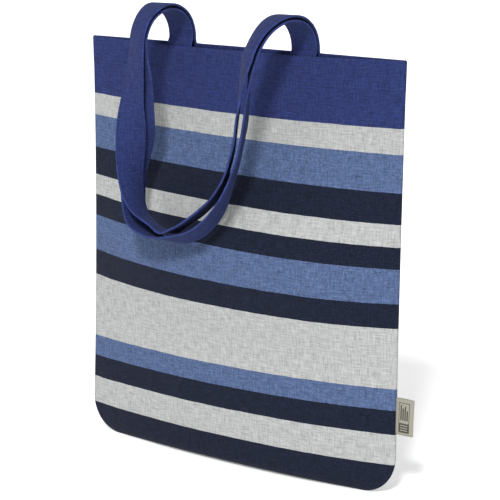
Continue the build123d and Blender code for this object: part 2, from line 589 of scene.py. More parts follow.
def close_tube(mesh: bmesh.types.BMesh) -> None:
    """Welds a rolled grid along its seam, caps both ends and turns the faces outwards."""
    bmesh.ops.remove_doubles(mesh, verts=mesh.verts[:], dist=1e-6)
    rims = [edge for edge in mesh.edges if edge.is_boundary]
    bmesh.ops.holes_fill(mesh, edges=rims, sides=0)
    for edge in rims:
        edge.smooth = False
    bmesh.ops.recalc_face_normals(mesh, faces=mesh.faces[:])


def add_stitch(mesh: bmesh.types.BMesh, centre: Vector, along: Vector, normal: Vector,
               size: tuple[float, float, float], slot: int = 0) -> None:
    """Adds one stitch, a slim rounded bead.

    Args:
        mesh: The mesh that it joins.
        centre: Its middle.
        along: The way the thread runs.
        normal: The way out of the cloth.
        size: Its length, width and height.
        slot: Its material slot.
    """
    forward = along.normalized()
    side = normal.cross(forward).normalized()
    up = forward.cross(side)
    turn = Matrix((forward, side, up)).transposed().to_4x4()
    scale = Matrix.Diagonal((size[0] / 2, size[1] / 2, size[2] / 2, 1.0))
    made = bmesh.ops.create_icosphere(mesh, subdivisions=1, radius=1.0,
                                      matrix=Matrix.Translation(centre) @ turn @ scale)
    for face in {face for vertex in made["verts"] for face in vertex.link_faces}:
        face.material_index = slot
        face.smooth = True


def make_piece(mesh: bmesh.types.BMesh, name: str, *materials: bpy.types.Material) -> bpy.types.Object:
    """Turns a bmesh into a finished object at the origin and reports it.

    Args:
        mesh: The mesh, which is freed.
        name: The piece's name.
        materials: The material of each slot.

    Returns:
        The object.
    """
    data = bpy.data.meshes.new(name)
    mesh.to_mesh(data)
    mesh.free()
    for material in materials:
        data.materials.append(material)
    piece = bpy.data.objects.new(name, data)
    bpy.context.scene.collection.objects.link(piece)
    log.info("%s: %d faces", name, len(data.polygons))
    return piece


def thicken(piece: bpy.types.Object, thickness: float) -> None:
    """Gives a sheet its thickness, half to each side."""
    solid = piece.modifiers.new("thickness", "SOLIDIFY")
    solid.thickness = thickness
    solid.offset = 0.0
    solid.use_even_offset = True


# ---------------------------------------------------------------- the bag's body


@dataclass(frozen=True)
class BagSizes:
    """The sizes that the bag's sewn pieces share."""

    half_width: float
    height: float
    hem_depth: float
    corner_radius: float = 38 * MM
    cloth: float = 1.0 * MM
    fold_radius: float = 0.9 * MM
    seam_half: float = 1.5 * MM
    hem_seam_half: float = 2.9 * MM
    base_height: float = 12 * MM
    base_squareness: float = 2.6
    allowance: float = 11 * MM
    stitch_inset: float = 2.2 * MM
    handle_at: float = 75 * MM
    strap_width: float = 30 * MM

    @property
    def rim(self) -> float:
        """The level at which the cloth starts to turn over the rim."""
        return self.height - self.cloth / 2 - self.fold_radius

    def reach(self, level: float) -> float:
        """Half the bag's flat width at a level, which shrinks round the bottom corners."""
        if level >= self.corner_radius:
            return self.half_width
        up = self.corner_radius - max(level, 0.0)
        return self.half_width - self.corner_radius + math.sqrt(self.corner_radius**2 - up**2)

    def seam(self, level: float) -> float:
        """Half the thickness of the side seams at a level: more plies meet in the hem."""
        step = ease((level - (self.height - self.hem_depth - 1.5 * MM)) / (3 * MM))
        return self.seam_half + (self.hem_seam_half - self.seam_half) * step


@dataclass(frozen=True)
class Row:
    """One row of a panel's grid: its level, the fold's way in and up, and its place on the cloth."""

    level: float
    inset: float
    lift: float
    flat: float


@dataclass
class PanelForm:
    """The shape that one panel's cloth takes in the filled bag."""

    bag: BagSizes
    side: int
    depths: tuple[tuple[float, float], ...]
    lean: float
    fullness: float = 2.26
    sag: float = 0.6
    left_waist: float = 3.8 * MM
    right_waist: float = 1.4 * MM
    broad_ripple: float = 1.5 * MM
    fine_ripple: float = 0.30 * MM
    pucker: float = 0.55 * MM
    seed: float = 0.0
    skew: tuple[tuple[float, float], ...] = ((0.0, 0.0), (0.08, 3 * MM), (0.24, -3 * MM), (0.42, 4 * MM))
    depth: SmoothCurve = field(init=False)
    slant: SmoothCurve = field(init=False)
    sagging: SmoothCurve = field(init=False)

    def __post_init__(self) -> None:
        """Draws the depth curve and adds up how far the bulge pulls the cloth down."""
        self.depth = SmoothCurve(self.depths)
        self.slant = SmoothCurve(self.skew)
        drop, points, step = 0.0, [(0.0, 0.0)], 5 * MM
        level = 0.0
        while level < self.bag.height:
            slope = (self.depth(level + step) - self.depth(level)) / step
            drop += slope * slope / 2 * step
            level += step
            points.append((level, drop))
        self.sagging = SmoothCurve(points)

    def point(self, across: float, level: float, inset: float = 0.0) -> Vector:
        """A place on the panel's cloth.

        Args:
            across: From -1 at the left seam to 1 at the right one.
            level: The height along the cloth, from the bottom seam.
            inset: How far inside the cloth's middle the place is.

        Returns:
            The place, in the row frame.
        """
        bag = self.bag
        round_share = 1 - abs(across) ** self.fullness
        z = level - self.sag * round_share * self.sagging(level) + across * self.slant(level)
        waist = self.left_waist if across < 0 else self.right_waist
        pull = waist * math.sin(math.pi * min(max(level, 0.0) / bag.height, 1.0)) ** 0.8 * abs(across)
        half = bag.reach(level) - inset
        x = across * half - math.copysign(pull, across)
        seam = bag.seam(level)
        in_from_edge = min((1 - abs(across)) * half / (seam * 1.4), 1.0)
        edge = seam * math.sqrt(max(0.0, 1 - (1 - in_from_edge) ** 2))
        bulge = (self.depth(level) - seam) * round_share * (1 + self.lean * across) + edge
        bulge += self.ripple(across, x, level)
        lift = 1 - min(max(level, 0.0) / bag.base_height, 1.0)
        bulge *= (1 - lift**bag.base_squareness) ** (1 / bag.base_squareness)
        if inset:
            bulge = max(bulge - inset, bag.cloth * 0.55)
        return Vector((x, self.side * (bulge + 0.1 * MM), z + bag.cloth / 2))

    def ripple(self, across: float, x: float, level: float) -> float:
        """How far the cloth's soft folds and puckers lift it at a place.

        Args:
            across: From -1 to 1 between the seams.
            x: The place across in metres.
            level: The level in metres.

        Returns:
            The lift, outwards.
        """
        bag = self.bag
        from_seam = (1 - abs(across)) * bag.half_width
        free = ease(from_seam / (30 * MM)) * ease(level / (60 * MM))
        held = 1 - 0.75 * ease((level - (bag.height - 60 * MM)) / (30 * MM))
        broad = noise.noise(Vector((x / (95 * MM), level / (150 * MM), self.seed)))
        folds = noise.noise(Vector(((x + 0.35 * level) / (38 * MM), level / (120 * MM), self.seed + 9)))
        fine = noise.noise(Vector((x / (13 * MM), level / (17 * MM), self.seed + 4)))
        lift = (self.broad_ripple * broad + 0.45 * self.broad_ripple * folds) * free * held
        lift += self.fine_ripple * fine * ease(from_seam / (6 * MM))
        near_seam = math.exp(-from_seam / (13 * MM)) * ease(from_seam / (2.5 * MM))
        pucker = noise.noise(Vector((math.copysign(5.0, across), level / (8.5 * MM), self.seed + 2)))
        lift += self.pucker * 2.0 * pucker * near_seam
        stitch_line = bag.height - bag.hem_depth + bag.stitch_inset
        near_stitch = math.exp(-(((level - stitch_line) / (3.5 * MM)) ** 2))
        crimp = noise.noise(Vector((x / (3.4 * MM), 0.3, self.seed + 6)))
        lift += (0.5 * self.pucker * crimp - 0.25 * MM) * near_stitch * ease(from_seam / (5 * MM))
        return lift + self.handle_ridge(x, level)

    def handle_ridge(self, x: float, level: float) -> float:
        """The low ridges that the sewn-in strap ends press into the hem.

        Args:
            x: The place across in metres.
            level: The level in metres.

        Returns:
            The lift, outwards.
        """
        bag = self.bag
        foot = bag.height - bag.hem_depth
        over_strap = ease((level - foot) / (8 * MM)) * 0.8 * MM
        below_strap = ease((level - foot + 45 * MM) / (45 * MM)) * 0.25 * MM
        off = abs(abs(x) - bag.handle_at)
        plateau = 1 - ease((off - bag.strap_width / 2 + 2.5 * MM) / (5 * MM))
        return (over_strap + below_strap) * plateau

    def normal(self, across: float, level: float, inset: float = 0.0) -> tuple[Vector, Vector]:
        """The way along the cloth's width and the way out of it, at a place."""
        step = 0.004
        middle = min(max(across, step - 1), 1 - step)
        along = self.point(middle + step, level, inset) - self.point(middle - step, level, inset)
        up = self.point(middle, level + MM, inset) - self.point(middle, level - MM, inset)
        out = along.cross(up).normalized()
        if out.y * self.side < 0:
            out.negate()
        return along.normalized(), out


@dataclass
class Panel:
    """One panel of the bag, from its bottom seam up to the rim, over it and down inside as the hem."""

    form: PanelForm
    name: str
    hem_name: str
    column_step: float = 3.6 * MM
    row_step: float = 3.6 * MM

    def columns(self) -> list[float]:
        """The columns' places from -1 to 1, closer together at the seams."""
        half = self.form.bag.half_width
        edge = [0.0, 0.35, 0.8, 1.4, 2.2, 3.4, 5.2]
        right = [1 - distance * MM / half for distance in edge]
        middle = spaced(-right[-1], right[-1], self.column_step / half)
        return [-place for place in right[:-1]] + middle + right[-2::-1]

    def rows(self) -> list[Row]:
        """The rows from the bottom seam, up the panel, over the rim and down inside."""
        bag = self.form.bag
        turns = spaced(0.0, math.pi / 2, math.radians(9))
        base = [bag.base_height * (1 - math.cos(turn)) for turn in turns]
        corner = spaced(bag.base_height, bag.corner_radius, 2.4 * MM)[1:]
        stitch_zone = bag.height - bag.hem_depth - 6 * MM
        body = spaced(bag.corner_radius, stitch_zone, self.row_step)[1:]
        top = spaced(stitch_zone, bag.rim, 1.5 * MM)[1:]
        levels = base + corner + body + top
        rows = [Row(level, 0.0, 0.0, level) for level in levels]
        rows[: len(base)] = self._base_rows(base)
        radius = bag.fold_radius
        for turn in spaced(0.0, math.pi, math.radians(30))[1:]:
            rows.append(Row(bag.rim, radius * (1 - math.cos(turn)), radius * math.sin(turn),
                            bag.rim + radius * turn))
        for down in spaced(0.0, bag.hem_depth - 2 * MM, 2.2 * MM)[1:]:
            rows.append(Row(bag.rim - down, 2 * radius, 0.0, bag.rim + radius * math.pi + down))
        return rows

    def _base_rows(self, levels: Sequence[float]) -> list[Row]:
        """The rows that turn under the bag, with the cloth that they take up measured along it.

        Args:
            levels: The rows' levels, rising.

        Returns:
            The rows, in the same order.
        """
        rows = [Row(levels[-1], 0.0, 0.0, levels[-1])]
        for lower, upper in zip(levels[-2::-1], levels[:0:-1]):
            length = (self.form.point(0.0, upper) - self.form.point(0.0, lower)).length
            rows.insert(0, Row(lower, 0.0, 0.0, rows[0].flat - length))
        return rows

    def build(self, canvas: bpy.types.Material) -> bpy.types.Object:
        """Makes the panel.

        Args:
            canvas: Its material.

        Returns:
            The panel, thickened into a sheet.
        """
        bag = self.form.bag

        def place(across: float, row: Row) -> Vector:
            """The point of a column and a row."""
            return self.form.point(across, row.level, row.inset) + Vector((0, 0, row.lift))

        def flat(across: float, row: Row) -> tuple[float, float]:
            """The place on the flat cloth."""
            return (across + 1) * bag.half_width + MAP_FOOT, row.flat + MAP_FOOT

        mesh = cloth_grid(self.columns(), self.rows(), place, flat)
        if self.form.side == BACK:
            bmesh.ops.reverse_faces(mesh, faces=mesh.faces[:])
        piece = make_piece(mesh, self.name + "_cloth", canvas)
        thicken(piece, bag.cloth)
        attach(piece, "bag")
        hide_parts(self.name, self.hem_name)
        return piece


@dataclass
class HemStitching:
    """The row of stitches that holds the hem, on both faces of both panels."""

    forms: Sequence[PanelForm]
    pitch: float = 3.2 * MM
    proud: float = 0.08 * MM
    size: tuple[float, float, float] = (2.5 * MM, 0.5 * MM, 0.42 * MM)

    def build(self, thread: bpy.types.Material) -> bpy.types.Object:
        """Makes the stitching.

        Args:
            thread: Its material.

        Returns:
            The piece.
        """
        mesh = bmesh.new()
        for form in self.forms:
            bag = form.bag
            level = bag.height - bag.hem_depth + bag.stitch_inset
            reach = 1 - 3 * MM / bag.half_width
            for across in spaced(-reach, reach, self.pitch / bag.half_width):
                along, out = form.normal(across, level)
                proud = out * (bag.cloth / 2 + self.proud)
                centre = form.point(across, level) + proud
                add_stitch(mesh, centre, along, out, self.size)
                inner = form.point(across * 0.97, level, 2 * bag.fold_radius) - proud
                add_stitch(mesh, inner, along, out, self.size)
        piece = make_piece(mesh, "hem_stitches", thread)
        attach(piece, "bag")
        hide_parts("hem_stitching")
        return piece


@dataclass
class SeamAllowances:
    """The cloth left inside the seams, two plies thick, with an overlocked edge."""

    bag: BagSizes
    waist: tuple[float, float]
    thickness: float = 1.4 * MM
    step: float = 4 * MM
    loop_pitch: float = 2.6 * MM
    loop_size: tuple[float, float, float] = (4.2 * MM, 0.45 * MM, 0.4 * MM)

    def _strip(self, name: str, node: str, path: Callable[[float], tuple[Vector, Vector]], length: float,
               slot: str, materials: Sequence[bpy.types.Material]) -> bpy.types.Object:
        """Makes one allowance along a seam.

        Args:
            name: The piece's name.
            node: The CAD node that it stands for.
            path: Gives the place on the seam and the way inwards, by the distance along it.
            length: The seam's length.
            slot: The record's material slot. Not used.
            materials: The canvas and the thread.

        Returns:
            The piece.
        """
        bag, half = self.bag, self.thickness / 2
        section = [(0, -1), (0.5, -1), (0.93, -0.9), (1.0, 0.0), (0.93, 0.9), (0.5, 1), (0, 1), (0, -1)]

        def place(corner: tuple[float, float], at: float) -> Vector:
            """The point of a corner of the section at a distance along the seam."""
            seam, inward = path(at)
            wave = 0.5 * MM * noise.noise(Vector((at / (14 * MM), len(name), 0.0))) * corner[0]
            return seam + inward * (bag.allowance * corner[0]) + Vector((0, corner[1] * half * 0.7 + wave, 0))

        def flat(corner: tuple[float, float], at: float) -> tuple[float, float]:
            """The place on the flat cloth."""
            return bag.allowance * corner[0] + 0.02, at + MAP_FOOT

        mesh = cloth_grid(section, spaced(0.0, length, self.step), place, flat)
        close_tube(mesh)
        for index, at in enumerate(spaced(self.step, length - self.step, self.loop_pitch)):
            seam, inward = path(at)
            ahead = (path(at + MM)[0] - seam).normalized()
            for side in (-1, 1):
                slant = inward + ahead * (0.5 if index % 2 else -0.5)
                centre = seam + inward * (bag.allowance - 2 * MM) + Vector((0, side * half * 0.8, 0))
                add_stitch(mesh, centre, slant, Vector((0, side, 0)), self.loop_size, 1)
        piece = make_piece(mesh, name, *materials)
        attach(piece, "bag")
        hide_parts(node)
        return piece

    def build(self, canvas: bpy.types.Material, navy: bpy.types.Material, thread: bpy.types.Material) -> None:
        """Makes the side and bottom allowances.

        Args:
            canvas: The striped canvas.
            navy: The plain canvas of the lowest stripe.
            thread: The overlock thread.
        """
        bag = self.bag
        foot = bag.corner_radius + bag.allowance
        length = bag.height - bag.hem_depth - foot - 2 * MM
        for side, waist, name in ((-1, self.waist[0], "left"), (1, self.waist[1], "right")):
            def path(at: float, side: int = side, waist: float = waist) -> tuple[Vector, Vector]:
                """A place on the side seam and the way in from it."""
                level = foot + at
                pull = waist * math.sin(math.pi * level / bag.height) ** 0.8
                seam = Vector((side * (bag.half_width - pull - 1.2 * MM), 0, level))
                return seam, Vector((-side, 0, 0))

            self._strip(f"side_seam_{name}", f"{name}_seam_allowance", path, length, "striped_cotton",
                        (canvas, thread))
        end = bag.half_width - bag.corner_radius

        def floor_path(at: float) -> tuple[Vector, Vector]:
            """A place on the bottom seam and the way up from it."""
            return Vector((at - end, 0, 1.2 * MM)), Vector((0, 0, 1))

        self._strip("bottom_seam", "bottom_seam_allowance", floor_path, 2 * end, "navy_cotton",
                    (navy, thread))


# ---------------------------------------------------------------- handles


@dataclass(frozen=True)
class Ring:
    """One cross-section of a strap: its middle, the way along, the way across and the length so far."""

    centre: Vector
    along: Vector
    across: Vector
    distance: float

    @property
    def out(self) -> Vector:
        """The way out of the strap's face."""
        return self.along.cross(self.across).normalized()


@dataclass
class Handle:
    """One strap handle: both sewn ends, the arch that leans over the rim, and the hanging loop.

    The route gives each place of the loop in millimetres and the roll of the strap's width about its own
    length, in degrees from lying in the bag's depth. The drifts say how far each arch's front end wanders
    sideways and forwards.
    """

    name: str
    form: PanelForm
    strap_y: float
    arch_centre: tuple[float, float]
    arch_radius: float
    route: Sequence[tuple[float, float, float, float]]
    arch_twists: tuple[float, float]
    arch_drifts: tuple[Vector, Vector]
    seed: float = 0.0
    drift_from: float = math.radians(75)
    width: float = 30 * MM
    thickness: float = 2.2 * MM
    sewn_length: float = 24 * MM
    bends: int = 4
    steps_per_bend: int = 14
    loop_step: float = 2.8 * MM
    cup: float = 0.9 * MM
    stitch_pitch: float = 3.3 * MM
    stitch_edge: float = 2.4 * MM
    stitch_size: tuple[float, float, float] = (2.3 * MM, 0.42 * MM, 0.36 * MM)
    blend_margin: float = 0.12
    rings: list[Ring] = field(default_factory=list)
    marks: list[int] = field(default_factory=list)

    def _hinge_point(self, turn: float) -> Vector:
        """A place on the arch's plain circle, by its angle in radians on from the upright strap."""
        y, z = self.arch_centre
        return Vector((0.0, y + self.arch_radius * math.cos(turn), z + self.arch_radius * math.sin(turn)))

    def _arch_point(self, turn: float, side: int) -> Vector:
        """A place on one arch, which drifts off the circle towards its front end."""
        share = max(0.0, (turn - self.drift_from) / (math.pi - self.drift_from)) ** 1.5
        sideways = Vector((side * self.form.bag.handle_at, 0.0, 0.0))
        return self._hinge_point(turn) + sideways + self.arch_drifts[0 if side < 0 else 1] * share

    def end_point(self, z: float, side: int) -> Vector:
        """A place on the sewn end, which lies against the hem and rises straight from it."""
        bag = self.form.bag
        inset = 2 * bag.fold_radius + bag.cloth / 2 + self.thickness / 2 + 0.15 * MM
        across = side * bag.handle_at / bag.half_width
        on_hem = self.form.point(across, min(z, bag.rim), inset).y
        free = ease((z - (bag.height - 8 * MM)) / (12 * MM))
        return Vector((side * bag.handle_at, on_hem * (1 - free) + self.strap_y * free, z))

    def _side_rings(self, side: int) -> list[tuple[Vector, Vector, Vector]]:
        """The middle, the way along and the way across, from a sewn end to the end of its arch.

        Args:
            side: -1 for the left end and 1 for the right one.

        Returns:
            The rings in order, with the first one at the sewn end.
        """
        bag = self.form.bag
        top = self.arch_centre[1]
        found = []
        for z in spaced(bag.height - self.sewn_length, top, 3.5 * MM)[:-1]:
            centre = self.end_point(z, side)
            along = (self.end_point(z + 0.5 * MM, side) - self.end_point(z - 0.5 * MM, side)).normalized()
            found.append((centre, along, Vector((1, 0, 0))))
        for turn in spaced(0.0, math.pi, math.pi / self.bends / self.steps_per_bend):
            along = (self._arch_point(turn + 0.01, side) - self._arch_point(turn - 0.01, side)).normalized()
            twist = math.radians(self.arch_twists[0 if side < 0 else 1]) * ease(turn / math.pi * 1.6 - 0.6)
            across = Matrix.Rotation(-twist, 3, along) @ square_to(along, Vector((1, 0, 0)))
            found.append((self._arch_point(turn, side), along, across))
        return found

    def _loop_rings(self, left: tuple[Vector, Vector, Vector],
                    right: tuple[Vector, Vector, Vector]) -> list[tuple[Vector, Vector, Vector]]:
        """The rings of the hanging loop, without the two that it shares with the arches.

        Args:
            left: The last ring of the left arch.
            right: The last ring of the right arch.

        Returns:
            The rings from left to right.
        """
        depth = Vector((0, 1, 0))

        def roll_of(along: Vector, across: Vector) -> float:
            """The roll of a ring's width, in degrees."""
            level = square_to(along, depth)
            return math.degrees(math.atan2(level.cross(across).dot(along), level.dot(across)))

        points = [left[0], *(Vector(place) * MM for *place, _ in self.route), right[0]]
        rolls = [roll_of(left[1], left[2]), *(roll for *_, roll in self.route),
                 roll_of(-right[1], -right[2])]
        places = [0.0]
        for a, b in zip(points, points[1:]):
            places.append(places[-1] + (b - a).length)
        path = SmoothCurve(list(zip(places, points)), (left[1], -right[1]))
        roll_at = SmoothCurve(list(zip(places, rolls)))
        found = []
        for at in spaced(0.0, places[-1], self.loop_step)[1:-1]:
            along = (path(at + 0.5 * MM) - path(at - 0.5 * MM)).normalized()
            across = Matrix.Rotation(math.radians(roll_at(at)), 3, along) @ square_to(along, depth)
            found.append((path(at), along, across))
        return found

    def lay_out(self) -> None:
        """Works out every ring from the left sewn end to the right one, and where the pieces divide."""
        left, right = self._side_rings(-1), self._side_rings(1)
        loop = self._loop_rings(left[-1], right[-1])
        turned = [(centre, -along, -across) for centre, along, across in reversed(right)]
        distance, before = 0.0, left[0][0]
        for centre, along, across in left + loop + turned:
            distance += (centre - before).length
            self.rings.append(Ring(centre, along, across, distance))
            before = centre
        sewn = len(left) - self.bends * self.steps_per_bend - 1
        arch = [sewn + bend * self.steps_per_bend for bend in range(self.bends + 1)]
        last = len(self.rings) - 1
        self.marks = [0, *arch, *(last - mark for mark in reversed(arch)), last]

    def _section(self) -> list[tuple[float, float]]:
        """The strap's outline as shares of its half width and half thickness, grooved at its stitching."""
        groove = 1 - 2 * self.stitch_edge / self.width
        face = [(-1.0, 0.0), (-0.985, 0.62), (-0.94, 0.95), (-groove - 0.04, 1.0), (-groove, 0.72),
                (-groove + 0.05, 0.98), (-0.4, 1.0), (0.0, 1.0), (0.4, 1.0), (groove - 0.05, 0.98),
                (groove, 0.72), (groove + 0.04, 1.0), (0.94, 0.95), (0.985, 0.62), (1.0, 0.0)]
        return face + [(across, -height) for across, height in face[-2:0:-1]] + [face[0]]

    def _cup_at(self, distance: float) -> float:
        """How far the strap's middle stands out of its edges at a place, which wanders along it."""
        total = self.rings[-1].distance
        free = ease((distance - 60 * MM) / (60 * MM)) * ease((total - 60 * MM - distance) / (60 * MM))
        wander = noise.noise(Vector((distance / (70 * MM), self.seed, 0.0)))
        return self.cup * (0.5 + 1.4 * wander) * free

    def _strip(self, mesh: bmesh.types.BMesh, first: int, last: int) -> None:
        """Adds the strap between two rings, with its edge stitching.

        Args:
            mesh: The mesh that it joins.
            first: The first ring's number.
            last: The last ring's number.
        """
        def place(corner: tuple[float, float], ring: Ring) -> Vector:
            """The point of a corner of the outline on a ring."""
            cup = self._cup_at(ring.distance) * (1 - corner[0] ** 2)
            wave = 0.6 * MM * noise.noise(Vector((ring.distance / (21 * MM), corner[0], self.seed)))
            lift = corner[1] * self.thickness / 2 + cup + wave * abs(corner[0]) * (1 if cup else 0)
            return ring.centre + ring.across * (corner[0] * self.width / 2) + ring.out * lift

        def flat(corner: tuple[float, float], ring: Ring) -> tuple[float, float]:
            """The place on the flat strap."""
            return (corner[0] + 1) * self.width / 2, ring.distance

        strip = cloth_grid(self._section(), self.rings[first:last + 1], place, flat)
        close_tube(strip)
        edge = 1 - 2 * self.stitch_edge / self.width
        start, end = self.rings[first].distance, self.rings[last].distance
        number = math.ceil(start / self.stitch_pitch)
        index = first
        while number * self.stitch_pitch < end - self.stitch_size[0] / 2:
            at = number * self.stitch_pitch
            number += 1
            if at < start + self.stitch_size[0] / 2:
                continue
            while self.rings[index + 1].distance < at:
                index += 1
            ring, after = self.rings[index], self.rings[index + 1]
            share = (at - ring.distance) / (after.distance - ring.distance)
            for across in (-edge, edge):
                for face in (-1, 1):
                    corner = (across, face * 0.86)
                    centre = place(corner, ring).lerp(place(corner, after), share)
                    add_stitch(strip, centre, ring.along, ring.out * face, self.stitch_size, 1)
        merged = bpy.data.meshes.new("strip")
        strip.to_mesh(merged)
        strip.free()
        mesh.from_mesh(merged)
        bpy.data.meshes.remove(merged)

    def _piece(self, part: str, spans: Iterable[tuple[int, int]], nodes: Sequence[str],
               materials: Sequence[bpy.types.Material]) -> bpy.types.Object:
        """Makes one piece of the handle.

        Args:
            part: What the piece is called on the handle.
            spans: The first and last ring of each stretch that it holds.
            nodes: The CAD nodes that it stands for.
            materials: The strap's canvas and its thread.

        Returns:
            The piece.
        """
        mesh = bmesh.new()
        for first, last in spans:
            self._strip(mesh, first, last)
        piece = make_piece(mesh, f"{self.name}_strap_{part}", *materials)
        if nodes:
            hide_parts(*nodes)
        return piece

    def build(self, canvas: bpy.types.Material, thread: bpy.types.Material) -> None:
        """Makes the handle's pieces and joins the ends and the loop to their bodies.

        Args:
            canvas: The strap's material.
            thread: Its stitching's material.
        """
        self.lay_out()
        marks, both = self.marks, (canvas, thread)
        spans = list(zip(marks, marks[1:]))
        mirror = len(spans) - 1
        ends = self._piece("ends", (spans[0], spans[mirror]), [f"{self.name}_handle_ends"], both)
        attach(ends, "bag")
        for bend in range(1, self.bends + 1):
            nodes = [f"{self.name}_handle_link_{bend}"] if bend < self.bends else []
            piece = self._piece(f"bend_{bend}", (spans[bend], spans[mirror - bend]), nodes, both)
            turn = math.pi / self.bends
            low, high = self._hinge_point((bend - 1) * turn), self._hinge_point(bend * turn)
            low.lerp(high, self.blend_margin)
            high.lerp(low, self.blend_margin)
            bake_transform(piece)
        loop = self._piece("loop", (spans[self.bends + 1],), [f"{self.name}_handle_loop"], both)
        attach(loop, f"{self.name}_handle_loop")


@dataclass
class EndStitching:
    """The boxed crosses of stitches that hold the four strap ends."""

    handles: Sequence[Handle]
    inset: float = 3.2 * MM
    pitch: float = 2.8 * MM
    size: tuple[float, float, float] = (2.2 * MM, 0.5 * MM, 0.42 * MM)

    def build(self, thread: bpy.types.Material) -> bpy.types.Object:
        """Makes the stitching.

        Args:
            thread: Its material.

        Returns:
            The piece.
        """
        mesh = bmesh.new()
        for handle in self.handles:
            bag = handle.form.bag
            reach = handle.width / 2 - self.inset
            low = bag.height - handle.sewn_length + self.inset
            high = bag.height - self.inset
            corners = [(-reach, low), (reach, low), (reach, high), (-reach, high)]
            lines = list(zip(corners, corners[1:] + corners[:1]))
            lines += [(corners[0], corners[2]), (corners[1], corners[3])]
            for side in (-1, 1):
                for start, end in lines:
                    self._line(mesh, handle, side, start, end)
        piece = make_piece(mesh, "strap_end_stitches", thread)
        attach(piece, "bag")
        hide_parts("handle_end_stitching")
        return piece

    def _line(self, mesh: bmesh.types.BMesh, handle: Handle, side: int,
              start: tuple[float, float], end: tuple[float, float]) -> None:
        """Adds one line of stitches on the inner face of a strap end.

        Args:
            mesh: The mesh that it joins.
            handle: The handle.
            side: -1 for its left end and 1 for its right one.
            start: Where the line starts, from the strap's middle and up from the floor.
            end: Where it ends.
        """
        length = math.dist(start, end)
        for at in spaced(self.size[0] / 2, length - self.size[0] / 2, self.pitch):
            share = at / length
            x, z = (a + (b - a) * share for a, b in zip(start, end))
            centre = handle.end_point(z, side)
            inward = Vector((0, -handle.form.side, 0))
            centre += Vector((x, 0, 0)) + inward * (handle.thickness / 2 + 0.06 * MM)
            add_stitch(mesh, centre, Vector((end[0] - start[0], 0, end[1] - start[1])), inward, self.size)


# ---------------------------------------------------------------- side label


@dataclass
class SideLabel:
    """The tape label, folded in half with both ends caught in the right seam."""

    low: Vector
    high: Vector
    tape: float = 0.45 * MM
    caught: float = 1.6 * MM
    gap: float = 0.35 * MM
    belly: float = 0.75 * MM
    row_step: float = 2.0 * MM

    def _around(self) -> list[tuple[float, float, float]]:
        """Places round the folded tape: x, y and the length so far."""
        start, end = self.low.x - self.caught, self.high.x - self.tape / 2
        fold = self.gap + self.tape / 2
        run = end - fold - start
        front = []
        for share in spaced(0.0, 1.0, 0.08):
            y = -fold - self.belly * math.sin(math.pi * share) ** 1.3
            front.append((start + run * share, y))
        turn = [(end - fold + fold * math.sin(angle), -fold * math.cos(angle))
                for angle in spaced(0.0, math.pi, 0.4)[1:-1]]
        back = [(x, -y) for x, y in reversed(front)]
        points, length = [], 0.0
        for x, y in front + turn + back:
            if points:
                length += math.dist((x, y), points[-1][:2])
            points.append((x, y, length))
        return points

    def build(self, tape: bpy.types.Material) -> bpy.types.Object:
        """Makes the label.

        Args:
            tape: Its material.

        Returns:
            The label, thickened into a sheet.
        """
        around = self._around()
        height = self.high.z - self.low.z

        def place(column: tuple[float, float, float], level: float) -> Vector:
            """The point of a place round the tape at a level."""
            x, y, _ = column
            share = level / height
            out = (x - self.low.x) / (self.high.x - self.low.x)
            curl = 0.5 * MM * math.sin(share * math.pi) * max(out, 0.0) * (1 if y < 0 else 0.6)
            return Vector((x - 0.9 * MM * (1 - share) * max(out, 0.0), y - curl, self.low.z + level))

        def flat(column: tuple[float, float, float], level: float) -> tuple[float, float]:
            """The place on the flat tape, out from the seam."""
            return column[2] - self.caught, level

        mesh = cloth_grid(around, spaced(0.0, height, self.row_step), place, flat)
        piece = make_piece(mesh, "label_tape_loop", tape)
        thicken(piece, self.tape)
        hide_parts("side_label")
        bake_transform(piece)
        return piece


# ---------------------------------------------------------------- studio


